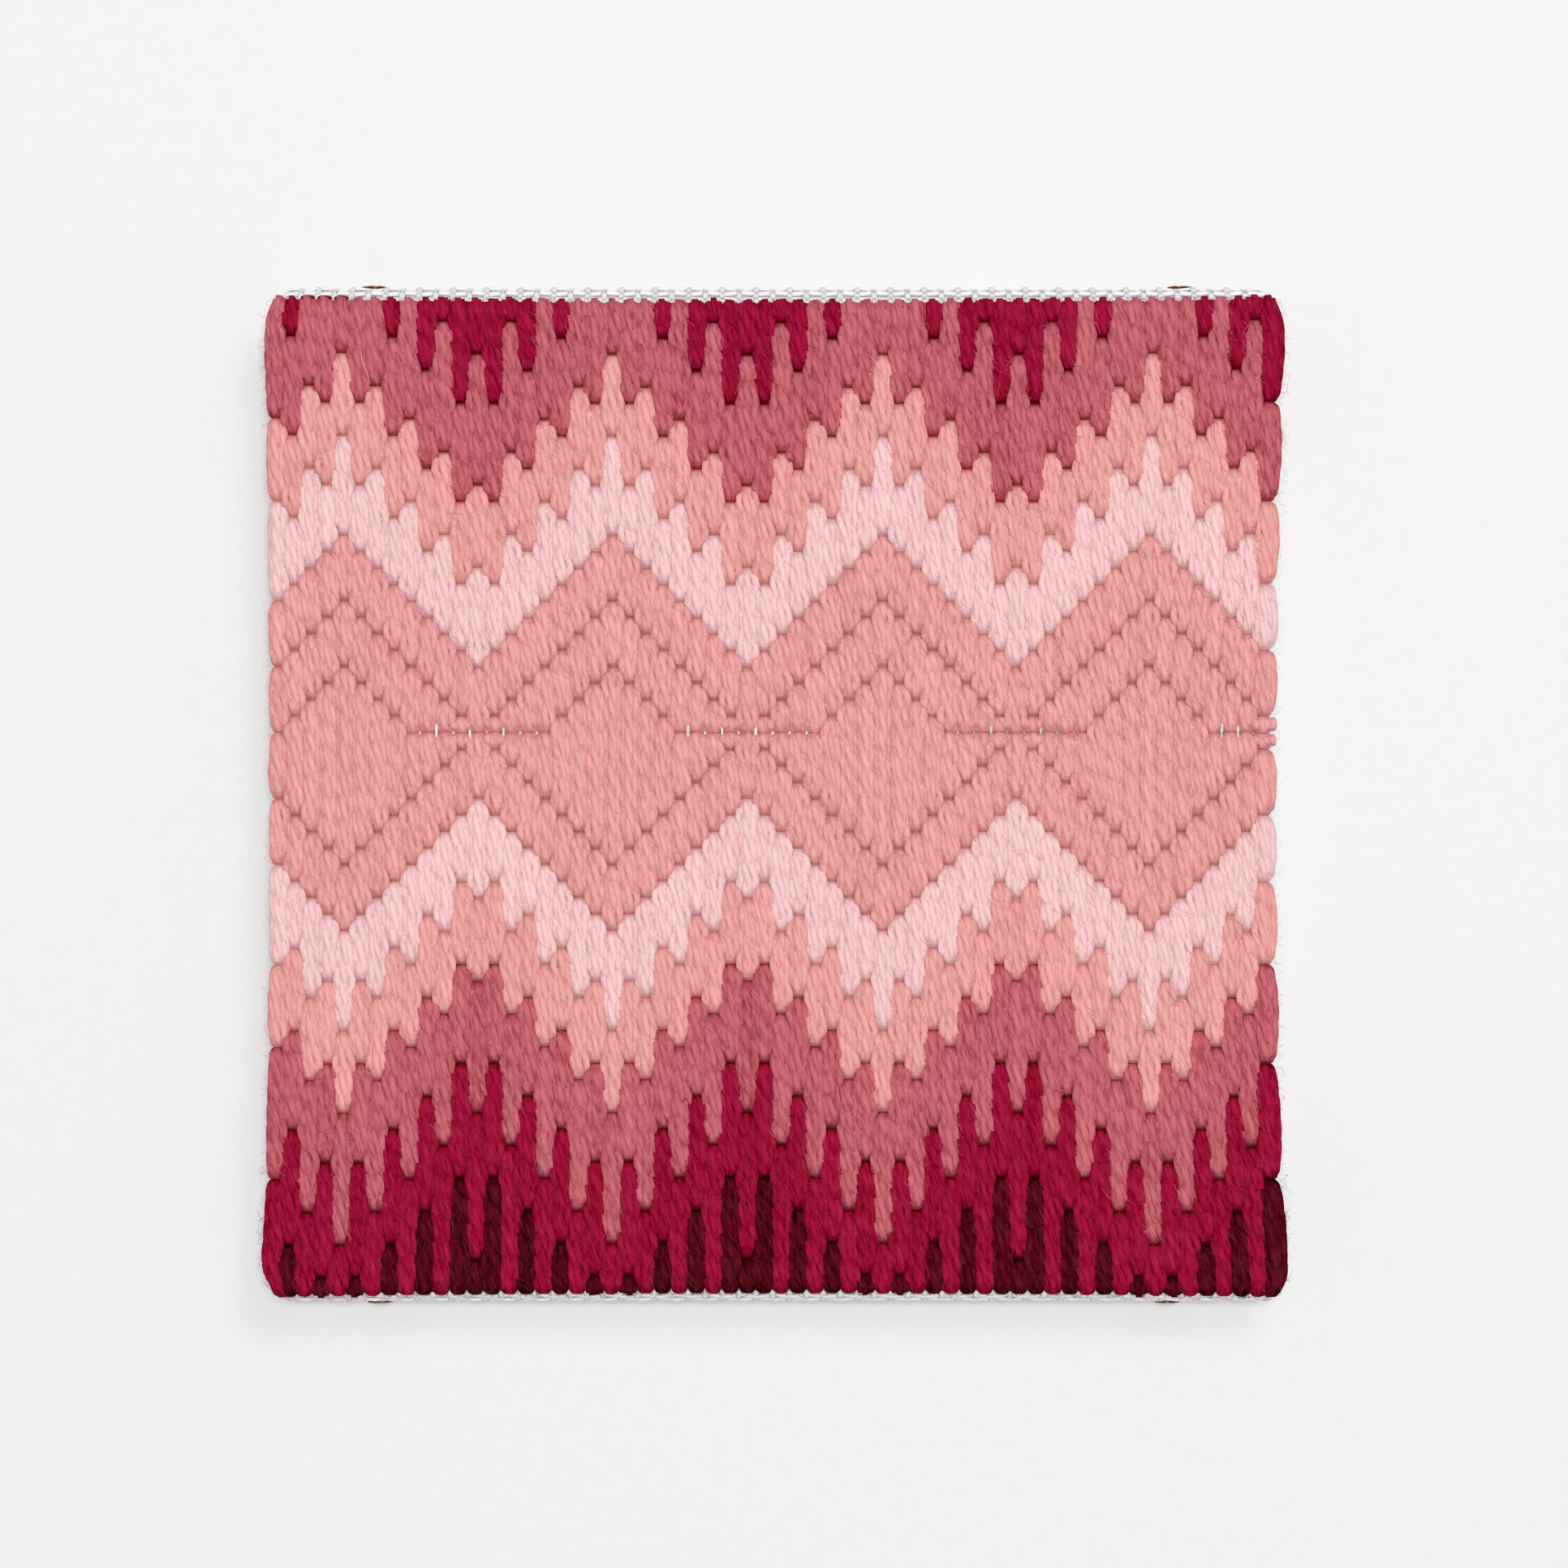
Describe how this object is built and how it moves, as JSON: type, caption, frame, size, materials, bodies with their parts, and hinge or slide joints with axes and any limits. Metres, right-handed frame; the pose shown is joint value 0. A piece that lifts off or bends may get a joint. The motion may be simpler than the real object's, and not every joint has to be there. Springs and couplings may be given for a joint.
{
  "type": "needlepoint canvas panel on mounting board",
  "caption": "Square needlepoint panel: upright wool stitches in flame waves and diamonds on white canvas, drawn over a bevelled board, turned under the back and tacked at the edges",
  "frame": {"origin": "on the floor under the middle of the panel, which lies on its back: the bottom centre of its box", "axes": "+Z leaves the stitched face, +Y points to the top of the pattern, +X to its right"},
  "size_m": [0.1526, 0.1542, 0.0143],
  "materials": {
    "board": "white-primed plywood, matte",
    "canvas": "white plain-woven cotton needlepoint canvas, ten threads an inch",
    "wool": "three-strand dyed wool in six shades from light pink to maroon, softly fuzzy",
    "tacks": "dull coppered steel, dark"
  },
  "bodies": {
    "root": {"mounting_board": "board", "canvas": "canvas", "wool_stitches": "wool", "tack_upper_left": "tacks", "tack_upper_right": "tacks", "tack_lower_left": "tacks", "tack_lower_right": "tacks"}
  },
  "joints": []
}
